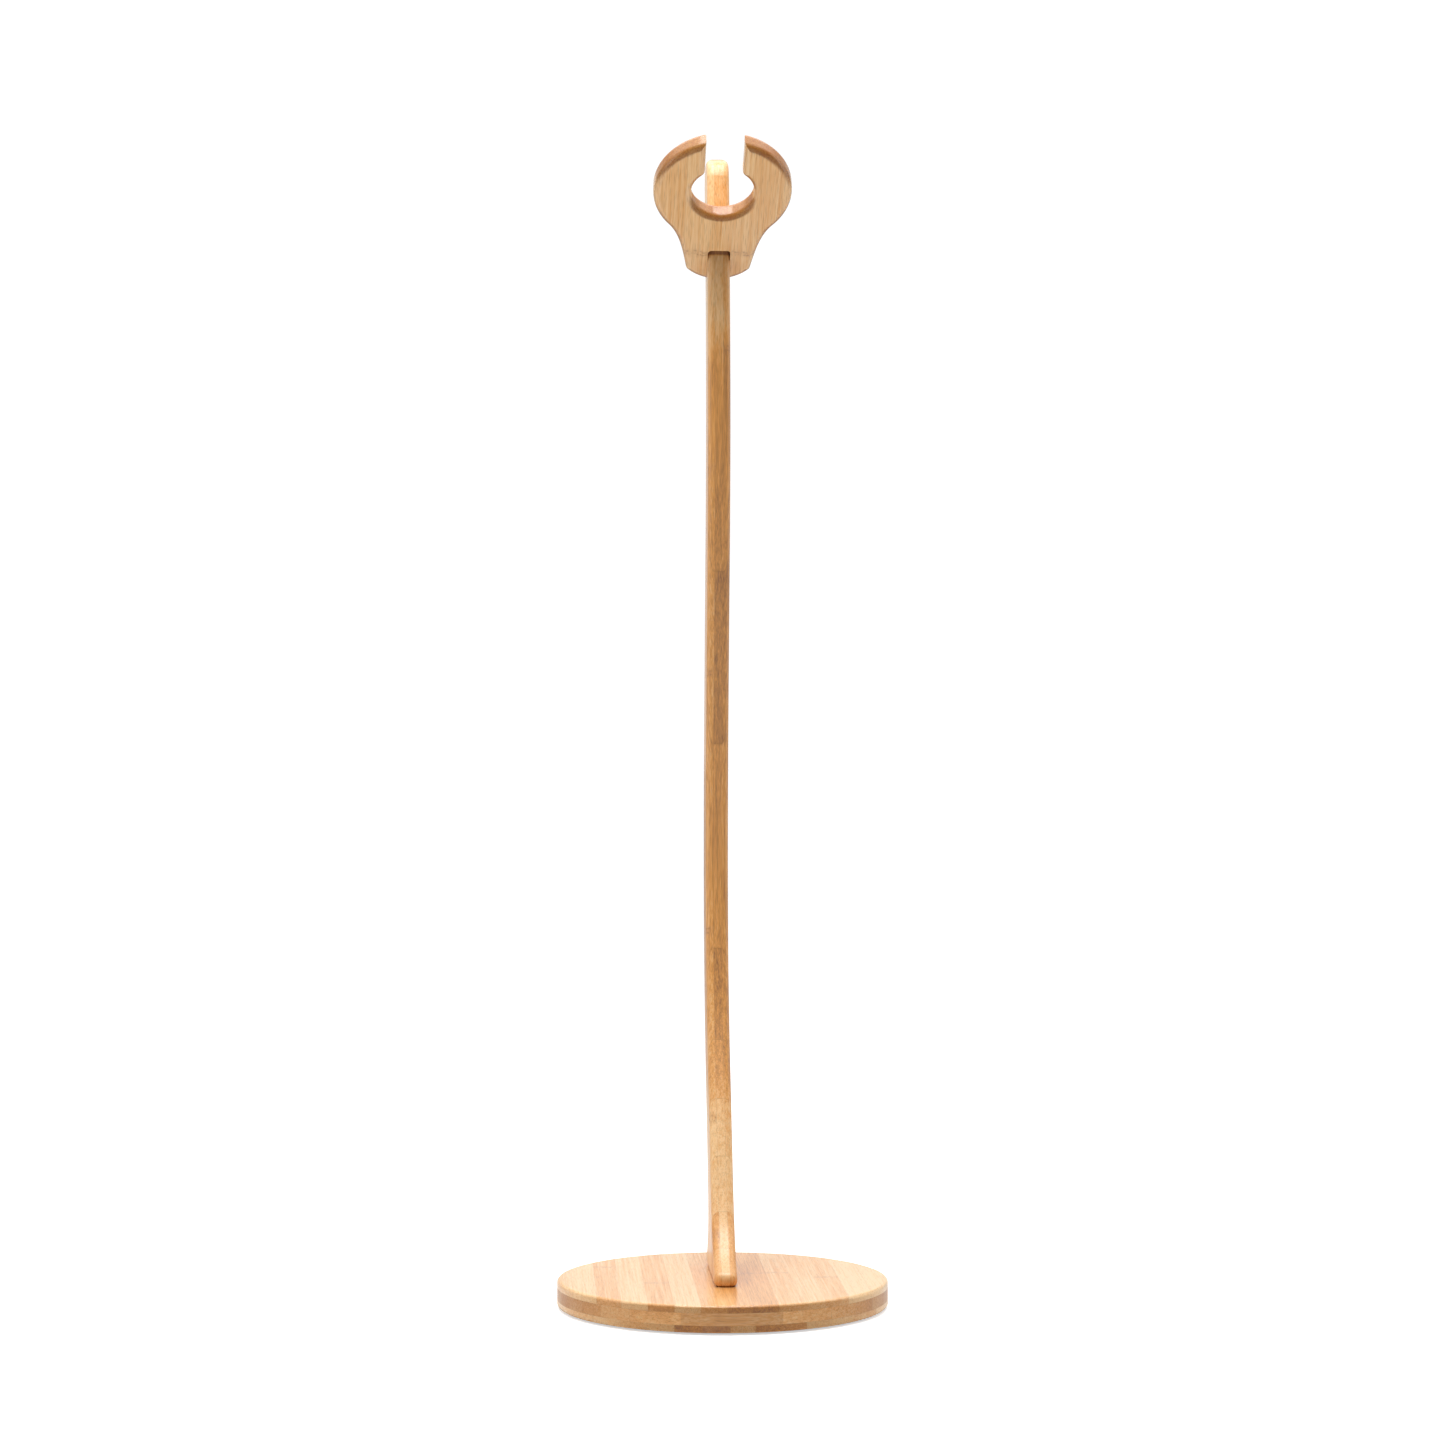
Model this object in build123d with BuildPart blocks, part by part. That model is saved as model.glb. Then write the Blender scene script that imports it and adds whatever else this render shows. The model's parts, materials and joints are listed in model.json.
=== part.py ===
from build123d import *

import os
from math import cos, radians, sin

# Laminated bamboo stand: a round three-ply base, a tall curved upright standing on it,
# and a slotted cradle plate that straddles the upright near its top.
# Millimetres, +Z up. The origin is the centre of the rest plane under the foot pads.
# The upright lies in the YZ plane; the cradle reaches forward, towards -Y.

os.makedirs("parts", exist_ok=True)

# ---------------------------------------------------------------- driving dimensions

pad_height = 1.5            # rubber foot pads under the base
pad_radius = 7.0
pad_edge_round = 0.5
pad_circle_radius = 103.0
pad_count = 4

base_radius = 125.0
outer_ply = 5.5             # top and bottom plies of the base board
core_ply = 9.0
base_edge_round = 2.5       # hand-sanded edge on the top and bottom plies

upright_thickness = 17.4
side_ply = 5.6              # left and right plies of the upright board
upright_edge_round = 5.0    # router round-over along the long edges
foot_nose_round = 6.5       # ends of the toe and the heel
foot_trim = 1.0             # the rounded foot is planed flat by this much

plate_thickness = 15.5
plate_slope = 36.6          # degrees the plate rises forward from the horizontal
plate_edge_round = 5.0
cradle_outer_radius = 52.5
cradle_hole_radius = 23.85
slot_width = 28.6
mouth_corner_round = 4.0    # where the hole opens into the slot
horn_corner_round = 2.5     # where the slot meets the outer arc
neck_angle = 40.0           # degrees below the hole's level where the outer arc ends
waist_half_width = 25.6
waist_drop = 76.5           # from the hole's centre down the plate
waist_direction = (-0.18, -0.98)        # the edge's line as it passes the waist
tail_half_width = 24.8
tail_drop = 81.0
tail_end_radius = 33.0      # large arc across the plate's lower end
tail_length = 92.5
tail_corner_round = 4.0
notch_top_drop = 59.4       # closed end of the notch that straddles the upright
notch_corner_round = 3.0

screw_radius = 2.5
screw_head_radius = 4.8
screw_head_depth = 2.6
screw_head_rim = 0.4
screw_point_length = 7.5
screw_point_radius = 0.3
drive_width = 1.1
drive_depth = 1.6
foot_screw_length = 48.0
foot_screw_positions = (2.0, 28.0)      # along Y
dowel_radius = 4.0
dowel_length = 30.0
dowel_depth_in_base = 14.0
foot_dowel_positions = (-14.0, 44.0)    # along Y
cradle_screw_length = 58.0
cradle_screw_tip_drop = 38.0            # from the hole's centre down the plate
plug_radius = 4.9
counterbore_reach = 40.0    # past the upright's rear edge

# Derived heights
base_bottom_z = pad_height
core_bottom_z = base_bottom_z + outer_ply
core_top_z = core_bottom_z + core_ply
base_top_z = core_top_z + outer_ply
hole_centre_z = base_top_z + 824.0

# The cradle plate's own plane: X across, Y up the slope towards the horns, and
# Z out of the underside, which faces forward and down.
slope = radians(plate_slope)
up_slope = Vector(0, -cos(slope), sin(slope))
plate_plane = Plane(
    origin=(0, 0, hole_centre_z), x_dir=(1, 0, 0), z_dir=(0, -sin(slope), -cos(slope))
)


def save(piece, node):
    """Label a finished piece and write it to its own file."""
    piece.part.label = node
    export_step(piece.part, f"parts/{node}.step")


# ---------------------------------------------------------------- screws and dowels

def screw_blank(length):
    """Countersunk wood screw on the Z axis without its drive: head up at the origin."""
    shank_end = length - screw_point_length
    with BuildPart() as screw:
        with BuildSketch(Plane.XZ):
            with BuildLine():
                Polyline(
                    (0, 0),
                    (screw_head_radius, 0),
                    (screw_head_radius, -screw_head_rim),
                    (screw_radius, -screw_head_depth),
                    (screw_radius, -shank_end),
                    (screw_point_radius, -length),
                    (0, -length),
                    (0, 0),
                )
            make_face()
        revolve(axis=Axis.Z)
    return screw.part


def wood_screw(length):
    """The same screw with its cross drive cut into the head."""
    with BuildPart() as screw:
        add(screw_blank(length))
        with BuildSketch():
            Rectangle(2 * screw_radius, drive_width)
            Rectangle(drive_width, 2 * screw_radius)
        extrude(amount=-drive_depth, mode=Mode.SUBTRACT)
    return screw.part


# The foot screws' heads face down under the base; the cradle screw's faces down and back.
foot_screw_heads = [Plane((0, y, base_bottom_z), z_dir=(0, 0, -1)) for y in foot_screw_positions]
cradle_screw_head = Plane(
    Vector(0, 0, hole_centre_z) - up_slope * (cradle_screw_tip_drop + cradle_screw_length),
    x_dir=(1, 0, 0),
    z_dir=-up_slope,
)

foot_screw_bores = [head.location * screw_blank(foot_screw_length) for head in foot_screw_heads]
cradle_screw_bore = cradle_screw_head.location * screw_blank(cradle_screw_length)

with BuildPart() as foot_screws:
    for head in foot_screw_heads:
        add(head.location * wood_screw(foot_screw_length))
save(foot_screws, "foot_screws")

with BuildPart() as cradle_screw:
    add(cradle_screw_head.location * wood_screw(cradle_screw_length))
save(cradle_screw, "cradle_screw")

with BuildPart() as foot_dowels:
    with BuildSketch(Plane.XY.offset(base_top_z - dowel_depth_in_base)):
        with Locations(*[(0, y) for y in foot_dowel_positions]):
            Circle(dowel_radius)
    extrude(amount=dowel_length)
save(foot_dowels, "foot_dowels")

foot_bores = [*foot_screw_bores, *foot_dowels.part.solids()]

# ---------------------------------------------------------------- base, three glued plies

with BuildPart() as base_bottom_ply:
    with BuildSketch(Plane.XY.offset(base_bottom_z)):
        Circle(base_radius)
    extrude(amount=outer_ply)
    fillet(base_bottom_ply.edges().group_by(Axis.Z)[0], radius=base_edge_round)
    add(foot_bores, mode=Mode.SUBTRACT)
save(base_bottom_ply, "base_bottom_ply")

with BuildPart() as base_core_ply:
    with BuildSketch(Plane.XY.offset(core_bottom_z)):
        Circle(base_radius)
    extrude(amount=core_ply)
    add(foot_bores, mode=Mode.SUBTRACT)
save(base_core_ply, "base_core_ply")

with BuildPart() as base_top_ply:
    with BuildSketch(Plane.XY.offset(core_top_z)):
        Circle(base_radius)
    extrude(amount=outer_ply)
    fillet(base_top_ply.edges().group_by(Axis.Z)[-1], radius=base_edge_round)
    add(foot_bores, mode=Mode.SUBTRACT)
save(base_top_ply, "base_top_ply")

# ---------------------------------------------------------------- foot pads

with BuildPart() as foot_pads:
    with BuildSketch():
        with PolarLocations(pad_circle_radius, pad_count, start_angle=45):
            Circle(pad_radius)
    extrude(amount=pad_height)
    fillet(foot_pads.edges().group_by(Axis.Z)[0], radius=pad_edge_round)
save(foot_pads, "foot_pads")

# ---------------------------------------------------------------- cradle plate

with BuildPart() as cradle_plate:
    neck = radians(neck_angle)
    neck_point = Vector(cos(neck), -sin(neck)) * cradle_outer_radius
    tail_centre_y = tail_end_radius - tail_length
    with BuildSketch(plate_plane) as outline:
        with BuildLine():
            CenterArc((0, 0), cradle_outer_radius, -neck_angle, 90 + neck_angle)
            Spline(
                neck_point,
                (waist_half_width, -waist_drop),
                tangents=[(-sin(neck), -cos(neck)), waist_direction],
            )
            Line((waist_half_width, -waist_drop), (tail_half_width, -tail_drop))
            RadiusArc((tail_half_width, -tail_drop), (0, -tail_length), tail_end_radius)
            mirror(about=Plane.YZ)
        make_face()
        Circle(cradle_hole_radius, mode=Mode.SUBTRACT)
        Rectangle(
            slot_width,
            2 * cradle_outer_radius,
            align=(Align.CENTER, Align.MIN),
            mode=Mode.SUBTRACT,
        )
        slot_corners = outline.vertices().filter_by(
            lambda v: abs(abs(v.X) - slot_width / 2) < 1e-3
        )
        mouth_corners = slot_corners.group_by(Axis.Y)[0]
        horn_corners = slot_corners.group_by(Axis.Y)[-1]
        fillet(mouth_corners, mouth_corner_round)
        fillet(horn_corners, horn_corner_round)
        tail_corners = outline.vertices().filter_by(
            lambda v: abs(abs(v.X) - tail_half_width) < 1e-3
        )
        fillet(tail_corners, tail_corner_round)
    extrude(amount=plate_thickness / 2, both=True)
    broad_faces = cradle_plate.faces().sort_by(SortBy.AREA)[-2:]
    fillet(broad_faces.edges(), plate_edge_round)
    # Notch from the lower end, which straddles the upright
    with BuildSketch(plate_plane) as notch:
        with Locations((0, -notch_top_drop)):
            Rectangle(upright_thickness, 2 * tail_length, align=(Align.CENTER, Align.MAX))
        fillet(notch.vertices().group_by(Axis.Y)[-1], notch_corner_round)
    extrude(amount=plate_thickness, both=True, mode=Mode.SUBTRACT)
    # Pilot hole for the cradle screw
    add(cradle_screw_bore, mode=Mode.SUBTRACT)
save(cradle_plate, "cradle_plate")

# ---------------------------------------------------------------- upright, three glued plies

# Points of the side outline, as (Y, height above the base), before the foot is planed flat.
toe = (-57.6, -foot_trim)
heel = (83.0, -foot_trim)
front_edge = [toe, (-27.0, 24.0), (14.0, 95.0), (59.0, 205.0), (72.0, 340.0),
              (56.0, 490.0), (39.0, 640.0), (48.5, 780.0)]
rear_edge = [(110.0, 290.0), (96.5, 480.0), (77.5, 640.0), (85.0, 770.0)]
rear_foot = [heel, (49.0, 30.0), (57.0, 85.0), (94.0, 185.0)]
tip_lean = radians(14)      # the tip leans back from the vertical
tip_radius = 20.0
tip_centre = Vector(77.5, 838.0)
toe_direction = (0.7, 0.71)         # the front edge's line as it leaves the toe
heel_direction = (-0.8, 0.6)        # the rear edge's line as it leaves the heel


def lift(point):
    """A point of the side outline, raised onto the base's top face."""
    return (point[0], point[1] + base_top_z)


def upright_blank():
    """The whole upright board, its long edges rounded, before it is sliced into plies."""
    along_tip = Vector(sin(tip_lean), cos(tip_lean))
    across_tip = Vector(cos(tip_lean), -sin(tip_lean))
    tip_front = tip_centre - across_tip * tip_radius
    tip_rear = tip_centre + across_tip * tip_radius
    tip_top = tip_centre + along_tip * tip_radius
    with BuildPart() as blank:
        with BuildSketch(Plane.YZ) as outline:
            with BuildLine():
                Spline(
                    *[lift(p) for p in front_edge],
                    lift((tip_front.X, tip_front.Y)),
                    tangents=[toe_direction, (along_tip.X, along_tip.Y)],
                    tangent_scalars=[1, 1],
                )
                ThreePointArc(
                    lift((tip_front.X, tip_front.Y)),
                    lift((tip_top.X, tip_top.Y)),
                    lift((tip_rear.X, tip_rear.Y)),
                )
                Spline(
                    *[lift(p) for p in rear_foot],
                    *[lift(p) for p in rear_edge],
                    lift((tip_rear.X, tip_rear.Y)),
                    tangents=[heel_direction, (along_tip.X, along_tip.Y)],
                    tangent_scalars=[1, 1],
                )
                Line(lift(heel), lift(toe))
            make_face()
            fillet(outline.vertices().group_by(Axis.Y)[0], foot_nose_round)
        extrude(amount=upright_thickness / 2, both=True)
        side_faces = blank.faces().filter_by(Axis.X)
        fillet(side_faces.edges(), upright_edge_round)
        split(bisect_by=Plane.XY.offset(base_top_z), keep=Keep.TOP)
    return blank.part


blank = upright_blank()

# The plug closes the counterbore behind the cradle screw, trimmed flush with the rear edge.
with BuildPart() as counterbore:
    with BuildSketch(cradle_screw_head):
        Circle(plug_radius)
    extrude(amount=counterbore_reach)

with BuildPart() as screw_plug:
    add(blank)
    add(counterbore.part, mode=Mode.INTERSECT)
save(screw_plug, "screw_plug")

# The plate itself cuts the shallow seat for its web into the front edge.
upright_cuts = [*foot_bores, cradle_screw_bore, counterbore.part, cradle_plate.part]


def upright_slice(lowest_x, highest_x):
    """One ply: a slice of the blank, with its seat and its dowel and screw holes cut."""
    with BuildPart() as ply:
        add(blank)
        with BuildSketch(Plane.YZ.offset(lowest_x)):
            with Locations((0, hole_centre_z / 2)):
                Rectangle(4 * base_radius, 2 * hole_centre_z)
        extrude(amount=highest_x - lowest_x, mode=Mode.INTERSECT)
        add(upright_cuts, mode=Mode.SUBTRACT)
    return ply


half_thickness = upright_thickness / 2
half_core = half_thickness - side_ply
upright_left_ply = upright_slice(-half_thickness, -half_core)
save(upright_left_ply, "upright_left_ply")

upright_core_ply = upright_slice(-half_core, half_core)
save(upright_core_ply, "upright_core_ply")

upright_right_ply = upright_slice(half_core, half_thickness)
save(upright_right_ply, "upright_right_ply")
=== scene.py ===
"""Finishes for a laminated bamboo stand: lacquered boards, screws, dowels and rubber pads."""

import json
from math import atan2, cos, pi, radians, sin

import bmesh
import bpy
from bpy.props import (
    FloatProperty,
    FloatVectorProperty,
    IntProperty,
    PointerProperty,
)
from mathutils import Matrix, Vector


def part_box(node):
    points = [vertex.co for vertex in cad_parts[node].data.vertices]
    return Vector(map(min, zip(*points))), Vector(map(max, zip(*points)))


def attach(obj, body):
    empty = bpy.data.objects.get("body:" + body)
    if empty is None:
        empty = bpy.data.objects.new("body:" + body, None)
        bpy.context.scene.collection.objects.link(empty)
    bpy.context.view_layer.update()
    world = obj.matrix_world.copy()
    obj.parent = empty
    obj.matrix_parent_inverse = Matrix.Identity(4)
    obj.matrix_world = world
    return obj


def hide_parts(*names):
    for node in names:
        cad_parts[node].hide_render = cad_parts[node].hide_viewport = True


bl_info = {
    "name": "Slotted Cradle Stand",
    "version": (1, 0, 0),
    "blender": (4, 5, 0),
    "location": "3D View > Sidebar > Cradle Stand",
    "description": "Dresses a laminated bamboo stand with a slotted cradle near its top",
    "category": "Object",
}

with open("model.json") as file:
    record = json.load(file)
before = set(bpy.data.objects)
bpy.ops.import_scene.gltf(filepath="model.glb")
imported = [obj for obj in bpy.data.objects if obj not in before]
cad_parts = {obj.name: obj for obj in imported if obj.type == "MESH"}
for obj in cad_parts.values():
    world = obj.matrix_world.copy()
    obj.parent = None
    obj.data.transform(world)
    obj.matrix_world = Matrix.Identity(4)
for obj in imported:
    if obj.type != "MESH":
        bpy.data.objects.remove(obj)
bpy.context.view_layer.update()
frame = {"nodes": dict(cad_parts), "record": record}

MM = 0.001

# ---------------------------------------------------------------- places read from the frame

cradle_mount = next(m for m in frame["record"]["mounts"] if m["name"] == "cradle_hole")
cradle_centre = Vector(cradle_mount["pos_m"])
cradle_up = Vector(cradle_mount["axis"])
up_slope = Vector((0, -cradle_up.z, cradle_up.y))

# ---------------------------------------------------------------- hidden fasteners and pads

SHANK_RADIUS = 2.5 * MM
HEAD_RIM = 0.4 * MM         # straight rim of a screw's head, above its cone
HEAD_EASE = 0.15 * MM       # tiny bevel round the top of the head
POINT_LENGTH = 7.5 * MM
POINT_RADIUS = 0.3 * MM
SMOOTH_SHANK = 12 * MM      # unthreaded length under the head
TURN_STEPS = 48             # segments round a turned piece
THREAD_STEPS = 20           # segments in one turn of the thread
THREAD_SINK = 0.08 * MM     # how far the thread's foot lies inside the core
THREAD_FOOT = 0.38          # half the thread's width at its foot, as a share of the pitch
THREAD_CREST = 0.06         # the same at its crest
DRIVE_SHARE = 0.56          # reach of the cross drive's arms, as a share of the head
DRIVE_FLOOR = 0.6           # size of the drive's floor, as a share of its mouth
PAD_RADIUS = 7 * MM
MERGE = 0.001 * MM

# ---------------------------------------------------------------- boards
# A board's seams are the joints between its glued strips, measured across the strips.
# Its tones run from 0, natural bamboo, to 1, dark steamed bamboo, one for each strip.
# Its rings say where along each strip the bamboo's growth ring falls, as a share of
# the ring spacing.

TOP_SEAMS = (-113.8, -96.8, -79.2, -60.3, -41.4, -22.5, -3.4, 15.0, 34.1, 51.3, 69.0, 87.3, 106.1)
TOP_TONES = (0.2, 0.08, 0.5, 0.08, 0.56, 0.14, 0.5, 0.78, 0.72, 0.4, 0.34, 0.42, 0.02, 0.04)
TOP_RINGS = (0.5, 0.5, 0.174, 0.5, 0.93, 0.5, 0.5, 0.5, 0.06, 0.066, 0.5, 0.994, 0.5, 0.5)

BOTTOM_SEAMS = (-118, -99.5, -80, -61, -41.5, -21.5, -1.4, 16.7, 35.7, 54.7, 73.4, 92, 110.6)
BOTTOM_TONES = (0.2, 0.3, 0.2, 0.25, 0.15, 0.74, 0.82, 0.2, 0.72, 0.66, 0.22, 0.2, 0.35, 0.15)
BOTTOM_RINGS = (0.3, 0.7, 0.1, 0.45, 0.9, 0.25, 0.6, 0.15, 0.8, 0.4, 0.05, 0.55, 0.35, 0.75)

CORE_SEAMS = (-101, -82.5, -64, -45.5, -27, -8.5, 10, 28.5, 47, 65.5, 84, 102.5)
CORE_TONES = (0.55, 0.5, 0.6, 0.4, 0.5, 0.3, 0.6, 0.45, 0.5, 0.35, 0.6, 0.5, 0.4)
CORE_RINGS = (0.3, 0.8, 0.15, 0.6, 0.4, 0.95, 0.2, 0.7, 0.5, 0.1, 0.85, 0.35, 0.65)

UPRIGHT_SEAMS = (-43.5, -25, -6.5, 12, 30.5, 49, 67.5, 86, 104.5)
LEFT_TONES = (0.55, 0.55, 0.55, 0.1, 0.05, 0.12, 0.12, 0.2, 0.3, 0.3)
LEFT_RINGS = (0.3, 0.62, 0.18, 0.8, 0.45, 0.05, 0.55, 0.9, 0.25, 0.7)
RIGHT_TONES = (0.55, 0.55, 0.6, 0.15, 0.3, 0.35, 0.4, 0.2, 0.35, 0.4)
RIGHT_RINGS = (0.7, 0.25, 0.5, 0.1, 0.85, 0.35, 0.95, 0.4, 0.6, 0.15)
MIDDLE_TONES = (0.05, 0.05, 0.1, 0.12, 0.1, 0.3, 0.45, 0.2, 0.35, 0.3)
MIDDLE_RINGS = (0.5, 0.9, 0.35, 0.65, 0.2, 0.75, 0.12, 0.58, 0.3, 0.8)

CRADLE_SEAMS = (-46, -27.5, -9, 9.5, 28, 46.5)
CRADLE_TONES = (0.3, 0.3, 0.24, 0.34, 0.3, 0.36, 0.3)
CRADLE_RINGS = (0.5, 0.5, 0.8, 0.5, 0.8, 0.5, 0.5)

# Light and shade painted on the upright by height alone, as (height, added tone). It is paler
# near the foot and at the tip, painted light where its front turns up, and darker over its middle,
# painted shade where its front overhangs. The dark step at the base is a painted contact shadow, and
# the one level with the lower edge of the notch's closed end is painted shade under the cradle. Both
# go all the way round the upright, so the upper one shows as a stripe on its sides and back.
UPRIGHT_PAINTED_SHADE = (
    (21.5, 0.95),
    (23.2, 0.03),
    (125, 0.03),
    (185, 0.38),
    (400, 0.44),
    (470, 0.38),
    (600, 0.45),
    (700, 0.42),
    (765, 0.0),
    (800.5, 0.05),
    (802.5, 0.75),
    (804.5, 0.75),
    (806.5, -0.03),
)
NO_PAINTED_SHADE = ((0, 0.0),)

PLUG_SEAMS = (-30, 30)
PLUG_TONES = (0.3, 0.3, 0.3)
PLUG_RINGS = (0.9, 0.9, 0.9)

# How squarely a surface must face along the grain to begin, and to be, full end grain.
BASE_END_GRAIN = (0.3, 1.45)
UPRIGHT_END_GRAIN = (0.8, 1.0)
# The cradle's low thresholds take in its rounded edges and walls, where the end darkening is partly
# painted shade
CRADLE_END_GRAIN = (0.05, 0.35)

# ---------------------------------------------------------------- stage

SENSOR_WIDTH = 36
CLIP_END = 100
FLOOR_RADIUS = 30
FLOOR_SIDES = 96
MIDDLE = (0, 0, 0.45)       # halfway up the stand, where the side lights point
BASE_AIM = (0, 0, 0.2)      # low on the stand, where the overhead light points
SIDE_BOX = (0.9, 1.8)
KEY_BOX = (1.5, 1.5)
FILL_BOX = (2.4, 1.6)


# ---------------------------------------------------------------- settings


def colour(name, description, value):
    return FloatVectorProperty(
        name=name, description=description, subtype="COLOR", size=3, min=0, max=1, default=value
    )


def length(name, description, value):
    return FloatProperty(
        name=name, description=description, subtype="DISTANCE", unit="LENGTH", precision=5, default=value
    )


def share(name, description, value):
    return FloatProperty(name=name, description=description, min=0, max=1, subtype="FACTOR", default=value)


class BambooSettings(bpy.types.PropertyGroup):
    natural: colour("Natural", "Colour of the palest strips", (0.83, 0.55, 0.28))
    amber: colour("Amber", "Colour of the middling strips", (0.69, 0.325, 0.095))
    steamed: colour("Steamed", "Colour of the darkest strips", (0.3, 0.14, 0.065))
    fibre: share("Fibre", "How strongly the fibres show", 0.8)
    seam_width: length("Seam width", "Width of the glue line between two strips", 0.25 * MM)
    ring_spacing: length("Ring spacing", "Distance between a strip's growth rings", 310 * MM)
    # Real darkening of sawn ends, set strong enough to be painted shade on the cradle's rounded edges and
    # walls too
    end_grain_and_shade_darkening: share("End darkening", "How much darker the sawn end grain is", 0.92)
    base_gloss: share("Base gloss", "Weight of the base's clear coat", 0.65)
    upright_gloss: share("Upright gloss", "Weight of the upright's clear coat", 0.45)
    cradle_gloss: share("Cradle gloss", "Weight of the cradle's clear coat", 1.0)
    lacquer_roughness: share("Lacquer roughness", "Roughness of the clear coat", 0.15)


class ScrewSettings(bpy.types.PropertyGroup):
    steel: colour("Steel", "Colour of the zinc plating", (0.62, 0.6, 0.55))
    pitch: length("Pitch", "Distance from one thread to the next", 1.5 * MM)
    thread_depth: length("Thread depth", "Height of the thread over its root", 0.62 * MM)
    drive_width: length("Drive width", "Width of each arm of the cross drive", 1.1 * MM)
    drive_depth: length("Drive depth", "Depth of the cross drive", 1.5 * MM)


class DowelSettings(bpy.types.PropertyGroup):
    beech: colour("Beech", "Colour of the dowels", (0.68, 0.46, 0.28))
    flutes: IntProperty(name="Flutes", description="Glue grooves round a dowel", default=12, min=4, max=24)
    flute_depth: length("Flute depth", "Depth of each glue groove", 0.35 * MM)
    chamfer: length("Chamfer", "Bevel round each end", 0.8 * MM)


class PadSettings(bpy.types.PropertyGroup):
    rubber: colour("Rubber", "Colour of the pads", (0.045, 0.042, 0.04))
    rim_round: length("Rim round", "Radius of the rounded rim", 0.45 * MM)
    dish: length("Dish", "Depth of the shallow dish inside the rim", 0.25 * MM)


class StageSettings(bpy.types.PropertyGroup):
    distance: length("Camera distance", "From the stand's axis to the camera", 2.556)
    height: length("Camera height", "Height of the level camera", 0.44125)
    azimuth: FloatProperty(
        name="Camera azimuth",
        description="How far to the left of straight ahead the camera stands",
        subtype="ANGLE",
        unit="ROTATION",
        default=radians(3.3),
    )
    lens: FloatProperty(name="Lens", description="Focal length on a 36 mm sensor", default=84.2, min=20)
    floor: colour("Floor", "Colour of the floor", (0.76, 0.76, 0.76))
    key: FloatProperty(name="Key", description="Power of the overhead softbox", unit="POWER", default=60)
    left: FloatProperty(name="Left", description="Power of the left softbox", unit="POWER", default=10)
    right: FloatProperty(name="Right", description="Power of the right softbox", unit="POWER", default=9)
    fill: FloatProperty(name="Fill", description="Power of the front fill", unit="POWER", default=2.4)


SETTINGS = {
    "stand_bamboo": BambooSettings,
    "stand_screws": ScrewSettings,
    "stand_dowels": DowelSettings,
    "stand_pads": PadSettings,
    "stand_stage": StageSettings,
}

# ---------------------------------------------------------------- shader helpers


class Shader:
    """Adds nodes to a shader tree. Every method but put and group gives back an output socket."""

    def __init__(self, tree):
        self.tree = tree

    def put(self, socket, value):
        if isinstance(value, bpy.types.NodeSocket):
            self.tree.links.new(value, socket)
        elif value is not None:
            socket.default_value = value

    def node(self, kind, inputs=(), output=0, **settings):
        """A node with its settings, its inputs as (name, value) pairs, and one of its outputs."""
        node = self.tree.nodes.new(kind)
        for name, value in settings.items():
            setattr(node, name, value)
        for name, value in inputs:
            self.put(node.inputs[name], value)
        return node.outputs[output]

    def math(self, operation, *values, clamp=False):
        pairs = tuple(enumerate(values))
        return self.node("ShaderNodeMath", pairs, operation=operation, use_clamp=clamp)

    def vector(self, operation, *values, output=0):
        pairs = tuple(enumerate(values))
        return self.node("ShaderNodeVectorMath", pairs, output=output, operation=operation)

    def blend(self, factor, first, second, how="MIX"):
        pairs = ((0, factor), (6, first), (7, second))
        return self.node("ShaderNodeMix", pairs, output=2, data_type="RGBA", blend_type=how)

    def smooth(self, value, low, high, to_low=0.0, to_high=1.0):
        """A smooth step from to_low at low to to_high at high."""
        pairs = tuple(enumerate((value, low, high, to_low, to_high)))
        return self.node("ShaderNodeMapRange", pairs, interpolation_type="SMOOTHSTEP")

    def linear(self, value, low, high):
        """A straight ramp from 0 at low to 1 at high."""
        pairs = tuple(enumerate((value, low, high, 0.0, 1.0)))
        return self.node("ShaderNodeMapRange", pairs)

    def noise(self, place, scale, detail=2.0, roughness=0.5):
        pairs = (("Vector", place), ("Scale", scale), ("Detail", detail), ("Roughness", roughness))
        return self.node("ShaderNodeTexNoise", pairs)

    def cells(self, place):
        """The distance from a place to the nearest of the cells' scattered centres."""
        return self.node("ShaderNodeTexVoronoi", (("Vector", place), ("Scale", 1.0)))

    def bump(self, height, strength, distance):
        pairs = (("Height", height), ("Strength", strength), ("Distance", distance))
        return self.node("ShaderNodeBump", pairs)

    def part(self, place, axis):
        """One of a place's three numbers."""
        return self.node("ShaderNodeSeparateXYZ", (("Vector", place),), output=axis)

    def stretched(self, place, across, along, depth):
        """A place scaled on its own along each of the board's three directions."""
        return self.vector("MULTIPLY", place, (across, along, depth))

    def ramp(self, value, stops, interpolation="LINEAR"):
        """A colour ramp through (position, colour) stops."""
        node = self.tree.nodes.new("ShaderNodeValToRGB")
        ramp = node.color_ramp
        ramp.interpolation = interpolation
        while len(ramp.elements) > 1:
            ramp.elements.remove(ramp.elements[-1])
        ramp.elements[0].position = stops[0][0]
        ramp.elements[0].color = (*stops[0][1], 1)
        for position, value_at in stops[1:]:
            ramp.elements.new(position).color = (*value_at, 1)
        self.put(node.inputs[0], value)
        return node.outputs[0]

    def group(self, name, inputs):
        """Places a shared group, and gives back all of its outputs."""
        node = self.tree.nodes.new("ShaderNodeGroup")
        node.node_tree = bpy.data.node_groups[name]
        for socket, value in inputs.items():
            self.put(node.inputs[socket], value)
        return node.outputs


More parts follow.
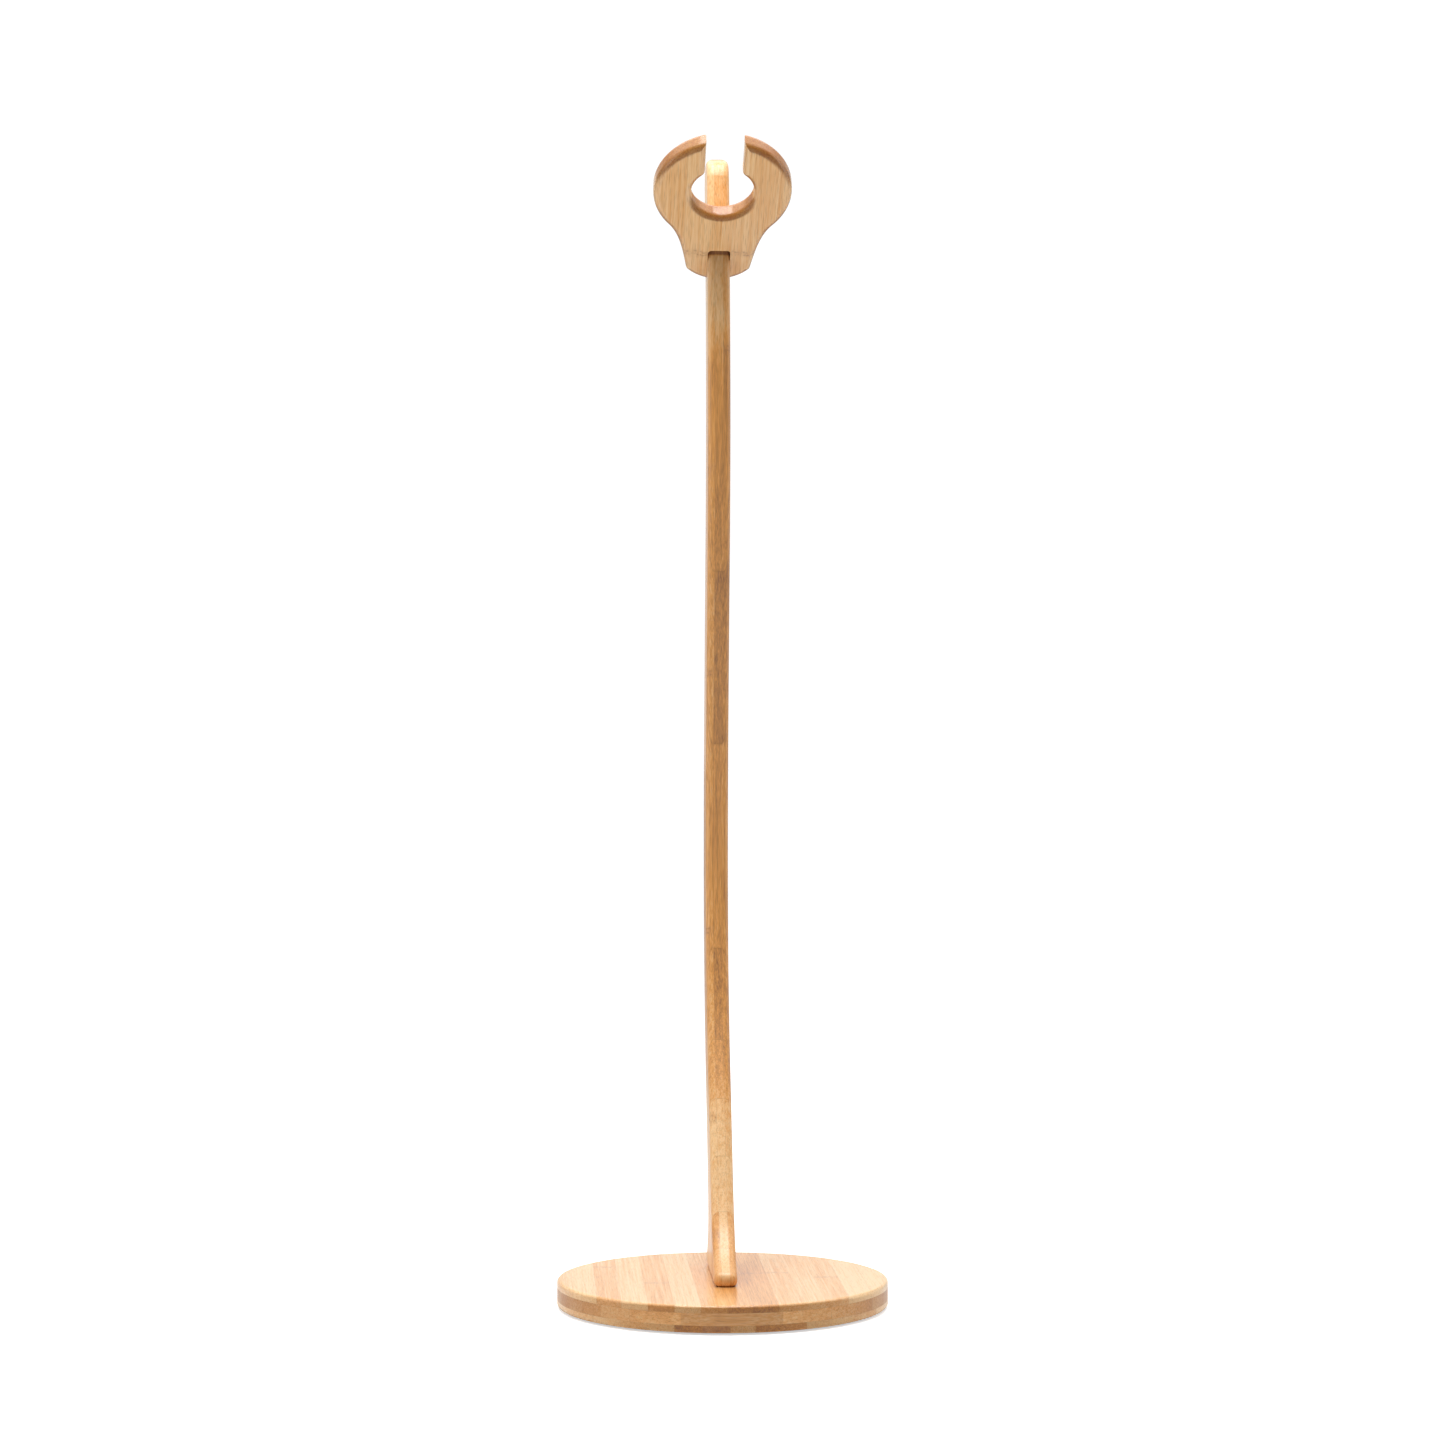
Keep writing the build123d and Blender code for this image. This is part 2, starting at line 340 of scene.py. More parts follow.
def new_group(name, inputs, outputs):
    """A shader node group with named sockets: its Shader, the sockets given and those to fill."""
    tree = bpy.data.node_groups.new(name, "ShaderNodeTree")
    for socket, kind in inputs.items():
        tree.interface.new_socket(socket, in_out="INPUT", socket_type=f"NodeSocket{kind}")
    for socket, kind in outputs.items():
        tree.interface.new_socket(socket, in_out="OUTPUT", socket_type=f"NodeSocket{kind}")
    given = tree.nodes.new("NodeGroupInput").outputs
    result = tree.nodes.new("NodeGroupOutput").inputs
    return Shader(tree), given, result


def new_material(name):
    """A new material with its Shader and its Principled BSDF's inputs."""
    material = bpy.data.materials.new(name)
    material.use_nodes = True
    tree = material.node_tree
    principled = next(n for n in tree.nodes if n.type == "BSDF_PRINCIPLED")
    return material, Shader(tree), principled.inputs


# ---------------------------------------------------------------- shared effects


def make_strips_group():
    """Which glued strip a point of a board is in, from its place counted in strips."""
    s, given, result = new_group(
        "strips",
        {"Count": "Float", "Strip Width": "Float", "Seam Width": "Float"},
        {"Strip": "Float", "Seam": "Float"},
    )
    strip = s.math("FLOOR", given["Count"])
    share_across = s.math("FRACT", given["Count"])
    off_middle = s.math("ABSOLUTE", s.math("SUBTRACT", share_across, 0.5))
    from_seam = s.math("MULTIPLY", s.math("SUBTRACT", 0.5, off_middle), given["Strip Width"])
    seam = s.smooth(from_seam, 0.0, given["Seam Width"], 1.0, 0.0)
    s.put(result["Strip"], strip)
    s.put(result["Seam"], seam)


def make_fibre_group():
    """Bamboo's fibres, which run along the board and show as dots where they are cut across."""
    s, given, result = new_group(
        "fibre",
        {"Position": "Vector", "Strip": "Float", "Seed": "Float"},
        {"Streaks": "Float", "Bundles": "Float", "Figure": "Float"},
    )
    shift = s.node(
        "ShaderNodeCombineXYZ",
        (
            ("X", s.math("MULTIPLY", given["Strip"], 0.137)),
            ("Y", s.math("MULTIPLY", given["Strip"], 0.731)),
            ("Z", s.math("MULTIPLY_ADD", given["Strip"], 0.291, given["Seed"])),
        ),
    )
    place = s.vector("ADD", given["Position"], shift)
    coarse = s.noise(s.stretched(place, 620, 9, 620), 1.0, 3.0, 0.62)
    fine = s.noise(s.stretched(place, 2300, 42, 2300), 1.0, 2.0, 0.6)
    streaks = s.math("ADD", s.math("MULTIPLY", coarse, 0.6), s.math("MULTIPLY", fine, 0.4))
    dashes = s.smooth(s.cells(s.stretched(place, 1050, 62, 1050)), 0.12, 0.42, 1.0, 0.0)
    long_dashes = s.smooth(s.cells(s.stretched(place, 520, 24, 520)), 0.05, 0.22, 1.0, 0.0)
    figure = s.noise(s.stretched(place, 34, 2.6, 34), 1.0, 2.0, 0.5)
    s.put(result["Streaks"], streaks)
    s.put(result["Bundles"], s.math("MAXIMUM", dashes, long_dashes))
    s.put(result["Figure"], figure)


def make_ring_group():
    """The growth ring across each bamboo strip: a pair of broken wavy lines in a soft smear."""
    s, given, result = new_group(
        "growth_ring",
        {"Position": "Vector", "Ring Place": "Float", "Ring Spacing": "Float"},
        {"Line": "Float", "Smear": "Float"},
    )
    along = s.part(given["Position"], "Y")
    wave = s.noise(s.stretched(given["Position"], 130, 30, 130), 1.0, 2.0, 0.5)
    wavy = s.math("ADD", along, s.math("MULTIPLY", s.math("SUBTRACT", wave, 0.5), 0.007))
    rings = s.math("DIVIDE", wavy, given["Ring Spacing"])
    past_ring = s.math("FRACT", s.math("ADD", s.math("SUBTRACT", rings, given["Ring Place"]), 20.5))
    signed = s.math("MULTIPLY", s.math("SUBTRACT", past_ring, 0.5), given["Ring Spacing"])
    distance = s.math("ABSOLUTE", signed)
    patches = s.noise(s.stretched(given["Position"], 380, 160, 380), 1.0, 3.0, 0.6)
    broken = s.smooth(patches, 0.44, 0.62)
    from_line = s.math("ABSOLUTE", s.math("SUBTRACT", distance, 0.0016))
    lines = s.smooth(from_line, 0.0001, 0.0012, 1.0, 0.0)
    s.put(result["Line"], s.math("MULTIPLY", lines, broken))
    cloud = s.math("MULTIPLY_ADD", broken, 0.6, 0.4)
    smear = s.smooth(distance, 0.0008, 0.006, 1.0, 0.0)
    s.put(result["Smear"], s.math("MULTIPLY", smear, cloud))


def make_bamboo_group():
    """Colour, roughness, relief and lacquer of a bamboo board."""
    s, given, result = new_group(
        "bamboo",
        {
            "Position": "Vector",
            "Strip": "Float",
            "Seam": "Float",
            "Tone": "Float",
            "Painted Shade": "Float",
            "Ring Place": "Float",
            "Ring Spacing": "Float",
            "End Grain": "Float",
            "End Grain And Shade": "Float",
            "Fibre": "Float",
            "Seed": "Float",
            "Natural": "Color",
            "Amber": "Color",
            "Steamed": "Color",
        },
        {"Color": "Color", "Roughness": "Float", "Lacquer": "Float", "Height": "Float"},
    )
    fibre = s.group(
        "fibre", {"Position": given["Position"], "Strip": given["Strip"], "Seed": given["Seed"]}
    )
    ring = s.group(
        "growth_ring",
        {
            "Position": given["Position"],
            "Ring Place": given["Ring Place"],
            "Ring Spacing": given["Ring Spacing"],
        },
    )
    figure = s.math("MULTIPLY", s.math("SUBTRACT", fibre["Figure"], 0.5), 0.5)
    contrast = s.math("MULTIPLY", given["Fibre"], 2.2)
    grain = s.math("MULTIPLY", s.math("SUBTRACT", fibre["Streaks"], 0.5), contrast)
    # A strip's tone shows less on its sanded face than on its sawn ends
    tone_share = s.math("MULTIPLY_ADD", given["End Grain"], 0.3, 0.7)
    # The tone added by height here is painted light and shade, not the bamboo's own colour
    tone = s.math("MULTIPLY_ADD", given["Tone"], tone_share, given["Painted Shade"])
    shade = s.math("ADD", tone, s.math("ADD", figure, grain), clamp=True)
    pale_half = s.blend(s.math("MULTIPLY", shade, 2.0, clamp=True), given["Natural"], given["Amber"])
    dark_share = s.math("MULTIPLY", s.math("SUBTRACT", shade, 0.5), 2.0, clamp=True)
    body = s.blend(dark_share, pale_half, given["Steamed"])

    # Fibre bundles are darker than the pith round them, and stand out on sawn ends
    bundle_strength = s.math("MULTIPLY_ADD", given["End Grain"], 0.25, 0.35)
    bundles = s.math("MULTIPLY", fibre["Bundles"], s.math("MULTIPLY", bundle_strength, given["Fibre"]))
    bundled = s.blend(bundles, body, (0.2, 0.085, 0.035, 1))

    # Sawn ends drink the lacquer and go darker and redder. The darkening is set strong enough that on the
    # cradle's rounded edges and walls it is also painted shade.
    end_and_shade_share = s.math("MULTIPLY", given["End Grain"], given["End Grain And Shade"])
    ends = s.blend(end_and_shade_share, bundled, (0.45, 0.3, 0.11, 1), how="MULTIPLY")

    smeared = s.blend(s.math("MULTIPLY", ring["Smear"], 0.42), ends, (0.46, 0.23, 0.11, 1))
    ringed = s.blend(s.math("MULTIPLY", ring["Line"], 0.35), smeared, (0.24, 0.09, 0.035, 1))
    seamed = s.blend(s.math("MULTIPLY", given["Seam"], 0.25), ringed, (0.26, 0.12, 0.05, 1))
    s.put(result["Color"], seamed)

    worn = s.math("MULTIPLY_ADD", fibre["Streaks"], 0.2, 0.32)
    s.put(result["Roughness"], s.math("MULTIPLY_ADD", given["End Grain"], 0.12, worn))
    # Less of the lacquer stays on top of the sawn ends
    s.put(result["Lacquer"], s.math("MULTIPLY_ADD", given["End Grain"], -0.35, 1.0))

    relief = s.math("SUBTRACT", s.math("MULTIPLY", fibre["Streaks"], 0.5), fibre["Bundles"])
    grooved = s.math("SUBTRACT", relief, s.math("MULTIPLY", given["Seam"], 1.2))
    s.put(result["Height"], s.math("MULTIPLY_ADD", ring["Line"], 0.3, grooved))


def make_plating_group():
    """Zinc plating: cloudy tone, fine scratches and dull patches."""
    s, given, result = new_group(
        "plating",
        {"Position": "Vector", "Metal": "Color"},
        {"Color": "Color", "Roughness": "Float", "Height": "Float"},
    )
    clouds = s.noise(given["Position"], 420, 3.0, 0.6)
    scratches = s.noise(s.stretched(given["Position"], 9000, 900, 1500), 1.0, 2.0, 0.7)
    dull = s.math("MULTIPLY", clouds, 0.7)
    s.put(result["Color"], s.blend(dull, given["Metal"], (0.4, 0.37, 0.3, 1)))
    s.put(result["Roughness"], s.math("MULTIPLY_ADD", clouds, 0.3, 0.18))
    s.put(result["Height"], scratches)


# ---------------------------------------------------------------- materials


class Board:
    """How a board was laid up and lacquered: which way its strips run, the places of the glue
    lines between its plies, its gloss, the light and shade painted on it by height, and how squarely a
    surface must face along the grain to begin and to be full end grain."""

    def __init__(self, kind, glue, gloss, end_grain, painted_shade=NO_PAINTED_SHADE):
        self.kind = kind
        self.glue = glue
        self.gloss = gloss
        self.end_grain = end_grain
        self.painted_shade = painted_shade


def strip_count(s, across, seams):
    """How many strips lie before a point, whole at each seam, and how many strips there are."""
    widths = [b - a for a, b in zip(seams, seams[1:])]
    low, high = seams[0] - widths[0], seams[-1] + widths[-1]
    spots = (low, *seams, high)
    count = len(spots) - 1
    share_across = s.linear(across, low * MM, high * MM)
    stops = [((x - low) / (high - low), (i / count,) * 3) for i, x in enumerate(spots)]
    return s.math("MULTIPLY", s.ramp(share_across, stops), count), count


def board_position(s, kind):
    """A board's own coordinates, with X across its strips, Y along them and Z through it,
    and how squarely the surface faces along the grain."""
    coordinates = s.tree.nodes.new("ShaderNodeTexCoord").outputs
    place, normal = coordinates["Object"], coordinates["Normal"]
    if kind == "cradle":
        turn = (-cradle_angle(), 0, 0)
        pairs = (("Vector", place), ("Location", cradle_centre), ("Rotation", turn))
        turned = s.node("ShaderNodeMapping", pairs, vector_type="TEXTURE")
        grain = up_slope
    else:
        order = {"front_to_back": "XYZ", "side_to_side": "YXZ", "upright": "YZX"}[kind]
        x, y, z = (s.part(place, axis) for axis in order)
        turned = s.node("ShaderNodeCombineXYZ", (("X", x), ("Y", y), ("Z", z)))
        grain = Vector([float(axis == order[1]) for axis in "XYZ"])
    facing = s.math("ABSOLUTE", s.vector("DOT_PRODUCT", normal, tuple(grain), output=1))
    return turned, facing


def cradle_angle():
    """The turn about X that lays the cradle's own axes on the world's."""
    return pi + cradle_up.angle(Vector((0, 0, 1)))


def bamboo_material(name, settings, board, seams, tones, rings, seed):
    """One ply's lacquered bamboo. The Board says how the ply was laid up and lacquered."""
    material, s, surface = new_material(name)
    position, facing = board_position(s, board.kind)
    counted, count = strip_count(s, s.part(position, "X"), seams)
    strips = s.group(
        "strips",
        {
            "Count": counted,
            "Strip Width": (seams[-1] - seams[0]) / (len(seams) - 1) * MM,
            "Seam Width": settings.seam_width,
        },
    )
    middle = s.math("DIVIDE", s.math("ADD", strips["Strip"], 0.5), count)
    stops = [(i / count, (tone, ring, 0)) for i, (tone, ring) in enumerate(zip(tones, rings))]
    chart = s.ramp(middle, stops, "CONSTANT")
    chosen = s.tree.nodes.new("ShaderNodeSeparateColor")
    s.put(chosen.inputs[0], chart)
    look = s.group(
        "bamboo",
        {
            "Position": position,
            "Strip": strips["Strip"],
            "Seam": glue_lines(s, strips["Seam"], position, board.glue, settings.seam_width),
            "Tone": chosen.outputs[0],
            "Painted Shade": painted_shade_by_height(s, position, board.painted_shade),
            "Ring Place": chosen.outputs[1],
            "Ring Spacing": settings.ring_spacing,
            "End Grain": s.smooth(facing, *board.end_grain),
            "End Grain And Shade": settings.end_grain_and_shade_darkening,
            "Fibre": settings.fibre,
            "Seed": seed,
            "Natural": (*settings.natural, 1),
            "Amber": (*settings.amber, 1),
            "Steamed": (*settings.steamed, 1),
        },
    )
    s.put(surface["Base Color"], look["Color"])
    s.put(surface["Roughness"], look["Roughness"])
    s.put(surface["Normal"], s.bump(look["Height"], 0.25, 0.1 * MM))
    s.put(surface["Specular IOR Level"], 0.15)
    s.put(surface["Coat Weight"], s.math("MULTIPLY", look["Lacquer"], board.gloss))
    s.put(surface["Coat Roughness"], settings.lacquer_roughness)
    s.put(surface["Coat IOR"], 1.5)
    return material


def glue_lines(s, seam, position, places, width):
    """The strips' seams together with the glue lines between the board's plies."""
    depth = s.part(position, "Z")
    for place in places:
        away = s.math("ABSOLUTE", s.math("SUBTRACT", depth, place))
        seam = s.math("MAXIMUM", seam, s.smooth(away, 0.0, width, 1.0, 0.0))
    return seam


def painted_shade_by_height(s, position, painted_shade):
    """Light and shade painted along a board, as tone added through (place, added tone) points."""
    if len(painted_shade) == 1:
        return painted_shade[0][1]
    along = s.part(position, "Y")
    added = painted_shade[0][1]
    for (low, before), (high, after) in zip(painted_shade, painted_shade[1:]):
        added = s.math("ADD", added, s.smooth(along, low * MM, high * MM, 0.0, after - before))
    return added


def steel_material(settings):
    """Zinc-plated steel."""
    material, s, surface = new_material("zinc_plated_steel")
    place = s.node("ShaderNodeTexCoord", output=3)
    look = s.group("plating", {"Position": place, "Metal": (*settings.steel, 1)})
    s.put(surface["Base Color"], look["Color"])
    s.put(surface["Metallic"], 1.0)
    s.put(surface["Roughness"], look["Roughness"])
    s.put(surface["Normal"], s.bump(look["Height"], 0.2, 0.05 * MM))
    return material


def beech_material(settings):
    """Beech along the dowels, with its short dark flecks."""
    material, s, surface = new_material("turned_beech")
    place = s.node("ShaderNodeTexCoord", output=3)
    grain = s.noise(s.stretched(place, 1500, 1500, 60), 1.0, 3.0, 0.6)
    flecks = s.smooth(s.cells(s.stretched(place, 1300, 1300, 300)), 0.1, 0.3, 0.5, 0.0)
    tinted = s.blend(s.math("MULTIPLY", grain, 0.5), (*settings.beech, 1), (0.42, 0.24, 0.12, 1))
    s.put(surface["Base Color"], s.blend(flecks, tinted, (0.25, 0.13, 0.07, 1)))
    s.put(surface["Roughness"], s.math("MULTIPLY_ADD", grain, 0.2, 0.5))
    s.put(surface["Normal"], s.bump(grain, 0.3, 0.1 * MM))
    return material


def rubber_material(settings):
    """Moulded rubber with a fine spark-eroded texture and some pale dust."""
    material, s, surface = new_material("moulded_rubber")
    place = s.node("ShaderNodeTexCoord", output=3)
    mould = s.noise(place, 5200, 2.0, 0.6)
    dust = s.smooth(s.noise(place, 300, 4.0, 0.7), 0.5, 0.75, 0.0, 0.35)
    s.put(surface["Base Color"], s.blend(dust, (*settings.rubber, 1), (0.16, 0.15, 0.14, 1)))
    s.put(surface["Roughness"], s.math("MULTIPLY_ADD", mould, 0.25, 0.55))
    s.put(surface["Normal"], s.bump(mould, 0.4, 0.08 * MM))
    return material


# ---------------------------------------------------------------- pieces


def dress(node, material):
    """Gives a CAD node its finish."""
    piece = frame["nodes"][node]
    piece.data.materials.clear()
    piece.data.materials.append(material)
    return piece


def finish_piece(name, mesh, material, node):
    """Makes a mesh an object that stands for a CAD node and rides with the stand."""
    data = bpy.data.meshes.new(name)
    mesh.to_mesh(data)
    mesh.free()
    data.materials.append(material)
    piece = bpy.data.objects.new(name, data)
    bpy.context.scene.collection.objects.link(piece)
    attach(piece, "root")
    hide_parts(node)
    return piece


def turned(profile):
    """Turns a (radius, height) profile all the way round Z."""
    skin = bmesh.new()
    points = [skin.verts.new((radius, 0, height)) for radius, height in profile]
    edges = [skin.edges.new(pair) for pair in zip(points, points[1:])]
    bmesh.ops.spin(
        skin,
        geom=points + edges,
        cent=(0, 0, 0),
        axis=(0, 0, 1),
        angle=2 * pi,
        steps=TURN_STEPS,
        use_merge=True,
    )
    return skin


def add_closed(mesh, skin, matrix):
    """Merges a skin's doubles, turns its faces outwards and adds it to a mesh."""
    bmesh.ops.remove_doubles(skin, verts=skin.verts, dist=MERGE)
    bmesh.ops.recalc_face_normals(skin, faces=skin.faces)
    bmesh.ops.transform(skin, matrix=matrix, verts=skin.verts)
    part = bpy.data.meshes.new("part")
    skin.to_mesh(part)
    skin.free()
    mesh.from_mesh(part)
    bpy.data.meshes.remove(part)


def add_thread(mesh, settings, top, bottom, matrix, taper):
    """A helical ridge whose foot is sunk a little into the screw's core."""
    ridge = bmesh.new()
    root = SHANK_RADIUS - settings.thread_depth - THREAD_SINK
    foot, crest = THREAD_FOOT, THREAD_CREST
    section = ((root, foot), (SHANK_RADIUS, crest), (SHANK_RADIUS, -crest), (root, -foot))
    points = [ridge.verts.new((radius, 0, top + reach * settings.pitch)) for radius, reach in section]
    edges = [ridge.edges.new((a, b)) for a, b in zip(points, points[1:] + points[:1])]
    turns = (top - bottom) / settings.pitch
    bmesh.ops.spin(
        ridge,
        geom=points + edges,
        cent=(0, 0, 0),
        axis=(0, 0, 1),
        dvec=(0, 0, -settings.pitch / THREAD_STEPS),
        angle=2 * pi * turns,
        steps=round(turns * THREAD_STEPS),
    )
    bmesh.ops.holes_fill(ridge, edges=ridge.edges, sides=len(section))
    for vert in ridge.verts:
        vert.co.xy *= taper(vert.co.z)
    add_closed(mesh, ridge, matrix)


def add_drive(skin, settings, rim_radius):
    """Sinks a tapered cross into a screw's flat head, inside the open rim."""
    half = settings.drive_width / 2
    arm = rim_radius * DRIVE_SHARE
    rim = [e for e in skin.edges if e.is_boundary]
    grid = bmesh.ops.create_grid(skin, x_segments=3, y_segments=3, size=1)["verts"]
    for vert in grid:
        for axis in (0, 1):
            side = 1 if vert.co[axis] > 0 else -1
            vert.co[axis] = side * (arm if abs(vert.co[axis]) > 0.5 else half)
    faces = list({face for vert in grid for face in vert.link_faces})
    centres = {face: face.calc_center_median() for face in faces}
    corners = [f for f in faces if abs(centres[f].x) > half and abs(centres[f].y) > half]
    bmesh.ops.delete(skin, geom=corners, context="FACES")
    cross = [face for face in faces if face.is_valid]
    outline = [e for e in {e for face in cross for e in face.edges} if e.is_boundary]
    sunk = bmesh.ops.extrude_face_region(skin, geom=cross)["geom"]
    floor = [item for item in sunk if isinstance(item, bmesh.types.BMVert)]
    bmesh.ops.scale(skin, vec=(DRIVE_FLOOR, DRIVE_FLOOR, 1), verts=floor)
    bmesh.ops.translate(skin, vec=(0, 0, -settings.drive_depth), verts=floor)
    bmesh.ops.bridge_loops(skin, edges=rim + outline)


def add_screw(mesh, settings, head_radius, length, matrix):
    """A countersunk wood screw: head up at the origin of its matrix, point down its -Z."""
    root = SHANK_RADIUS - settings.thread_depth
    shank_end = length - POINT_LENGTH
    neck = head_radius - SHANK_RADIUS + HEAD_RIM

    def taper(height):
        past = (-height - shank_end) / POINT_LENGTH
        return 1 - (1 - POINT_RADIUS / SHANK_RADIUS) * min(1, max(0, past))

    rim_radius = head_radius - HEAD_EASE
    smooth_shank = neck + SMOOTH_SHANK
    profile = [(rim_radius, 0), (head_radius, -HEAD_EASE), (head_radius, -HEAD_RIM)]
    profile += [(SHANK_RADIUS, -neck), (SHANK_RADIUS, -smooth_shank)]
    profile += [(root, -smooth_shank - SHANK_RADIUS / 2), (root, -shank_end)]
    profile += [(root * taper(-length), -length), (0, -length)]
    skin = turned(profile)
    bmesh.ops.remove_doubles(skin, verts=skin.verts, dist=MERGE)
    add_drive(skin, settings, rim_radius)
    add_closed(mesh, skin, matrix)
    thread_top = -smooth_shank - settings.pitch
    add_thread(mesh, settings, thread_top, POINT_RADIUS - length, matrix, taper)


def add_dowel(mesh, settings, radius, foot, length):
    """A dowel with glue flutes down its side and chamfered ends, standing on its foot."""
    skin = bmesh.new()
    segments = 4 * settings.flutes
    bmesh.ops.create_cone(
        skin, cap_ends=True, segments=segments, radius1=radius, radius2=radius, depth=length
    )
    # Every fourth edge of the side is pushed in to make a flute
    turn = 2 * pi / segments
    for vert in skin.verts:
        if round(atan2(vert.co.y, vert.co.x) / turn - 0.25) % 4 == 2:
            vert.co.xy *= 1 - settings.flute_depth / radius
    ends = [face for face in skin.faces if len(face.verts) == segments]
    rims = list({edge for face in ends for edge in face.edges})
    bmesh.ops.bevel(
        skin,
        geom=rims,
        offset=settings.chamfer,
        segments=2,
        profile=0.5,
        affect="EDGES",
        material=-1,
    )
    place = Matrix.Translation(foot + Vector((0, 0, length / 2)))
    add_closed(mesh, skin, place)


def add_pad(mesh, settings, foot, height):
    """A round pad with a rounded rim, a shallow dish under it and one moulded ring."""
    ease = settings.rim_round
    across = ((0, 1), (0.28, 1), (0.34, 0.5), (0.4, 1), (0.66, 1), (0.74, 0))
    profile = [(reach * PAD_RADIUS, depth * settings.dish) for reach, depth in across]
    for step in range(5):
        angle = step * pi / 8
        profile.append((PAD_RADIUS - ease + ease * sin(angle), ease - ease * cos(angle)))
    profile += [(PAD_RADIUS, height), (0, height)]
    add_closed(mesh, turned(profile), Matrix.Translation(foot))


class STAND_OT_base(bpy.types.Operator):
    """Finish the round three-ply base"""

    bl_idname = "stand.base"
    bl_label = "Base"

    def execute(self, context):
        bamboo = context.scene.stand_bamboo
        low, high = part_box("base_core_ply")
        glue = (low.z, high.z)
        outer = Board("front_to_back", glue, bamboo.base_gloss, BASE_END_GRAIN)
        inner = Board("side_to_side", glue, bamboo.base_gloss, BASE_END_GRAIN)
        plies = (
            ("top_ply", outer, TOP_SEAMS, TOP_TONES, TOP_RINGS, 0.11),
            ("core_ply", inner, CORE_SEAMS, CORE_TONES, CORE_RINGS, 0.23),
            ("bottom_ply", outer, BOTTOM_SEAMS, BOTTOM_TONES, BOTTOM_RINGS, 0.37),
        )
        for ply, *layup in plies:
            dress(f"base_{ply}", bamboo_material(f"bamboo_{ply}", bamboo, *layup))
        return {"FINISHED"}


class STAND_OT_upright(bpy.types.Operator):
    """Finish the three plies of the tall upright"""

    bl_idname = "stand.upright"
    bl_label = "Upright"

    def execute(self, context):
        bamboo = context.scene.stand_bamboo
        low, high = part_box("upright_core_ply")
        board = Board("upright", (low.x, high.x), bamboo.upright_gloss, UPRIGHT_END_GRAIN, UPRIGHT_PAINTED_SHADE)
        plies = (
            ("upright_left_ply", LEFT_TONES, LEFT_RINGS, 0.41),
            ("upright_core_ply", MIDDLE_TONES, MIDDLE_RINGS, 0.53),
            ("upright_right_ply", RIGHT_TONES, RIGHT_RINGS, 0.67),
        )
        for node, tones, rings, seed in plies:
            name = f"bamboo_{node}"
            dress(node, bamboo_material(name, bamboo, board, UPRIGHT_SEAMS, tones, rings, seed))
        return {"FINISHED"}


class STAND_OT_cradle(bpy.types.Operator):
    """Finish the slotted cradle plate"""

    bl_idname = "stand.cradle"
    bl_label = "Cradle"

    def execute(self, context):
        bamboo = context.scene.stand_bamboo
        board = Board("cradle", (), bamboo.cradle_gloss, CRADLE_END_GRAIN)
        material = bamboo_material(
            "bamboo_cradle_plate", bamboo, board, CRADLE_SEAMS, CRADLE_TONES, CRADLE_RINGS, 0.79
        )
        dress("cradle_plate", material)
        return {"FINISHED"}


class STAND_OT_plug(bpy.types.Operator):
    """Finish the plug that hides the cradle's screw"""

    bl_idname = "stand.plug"
    bl_label = "Plug"

    def execute(self, context):
        bamboo = context.scene.stand_bamboo
        board = Board("upright", (), bamboo.upright_gloss, UPRIGHT_END_GRAIN)
        material = bamboo_material(
            "bamboo_plug", bamboo, board, PLUG_SEAMS, PLUG_TONES, PLUG_RINGS, 0.97
        )
        dress("screw_plug", material)
        return {"FINISHED"}


class STAND_OT_screws(bpy.types.Operator):
    """Turn the threaded wood screws that hold the foot and the cradle"""

    bl_idname = "stand.screws"
    bl_label = "Screws"

    def execute(self, context):
        settings = context.scene.stand_screws
        steel = steel_material(settings)
        low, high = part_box("foot_screws")
        foot = bmesh.new()
        for y in (low.y + high.x, high.y - high.x):
            downwards = Matrix.Translation((0, y, low.z)) @ Matrix.Rotation(pi, 4, "X")
            add_screw(foot, settings, high.x, high.z - low.z, downwards)
        finish_piece("foot_screws_threaded", foot, steel, "foot_screws")

        low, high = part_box("cradle_screw")
        head = Vector((0, high.y - high.x * up_slope.z, low.z - high.x * up_slope.y))
        screw_length = (high.z - head.z + POINT_RADIUS * up_slope.y) / up_slope.z
        turn = (-up_slope).to_track_quat("Z", "Y").to_matrix().to_4x4()
        cradle = bmesh.new()
        add_screw(cradle, settings, high.x, screw_length, Matrix.Translation(head) @ turn)
        finish_piece("cradle_screw_threaded", cradle, steel, "cradle_screw")
        return {"FINISHED"}


class STAND_OT_dowels(bpy.types.Operator):
    """Cut the fluted dowels that key the foot to the base"""

    bl_idname = "stand.dowels"
    bl_label = "Dowels"

    def execute(self, context):
        settings = context.scene.stand_dowels
        low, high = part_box("foot_dowels")
        mesh = bmesh.new()
        for y in (low.y + high.x, high.y - high.x):
            add_dowel(mesh, settings, high.x, Vector((0, y, low.z)), high.z - low.z)
        finish_piece("fluted_dowels", mesh, beech_material(settings), "foot_dowels")
        return {"FINISHED"}


class STAND_OT_pads(bpy.types.Operator):
    """Mould the rubber pads under the base"""

    bl_idname = "stand.pads"
    bl_label = "Pads"

    def execute(self, context):
        settings = context.scene.stand_pads
        low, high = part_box("foot_pads")
        centre = high.x - PAD_RADIUS
        mesh = bmesh.new()
        for x in (-centre, centre):
            for y in (-centre, centre):
                add_pad(mesh, settings, Vector((x, y, low.z)), high.z - low.z)
        finish_piece("moulded_pads", mesh, rubber_material(settings), "foot_pads")
        return {"FINISHED"}


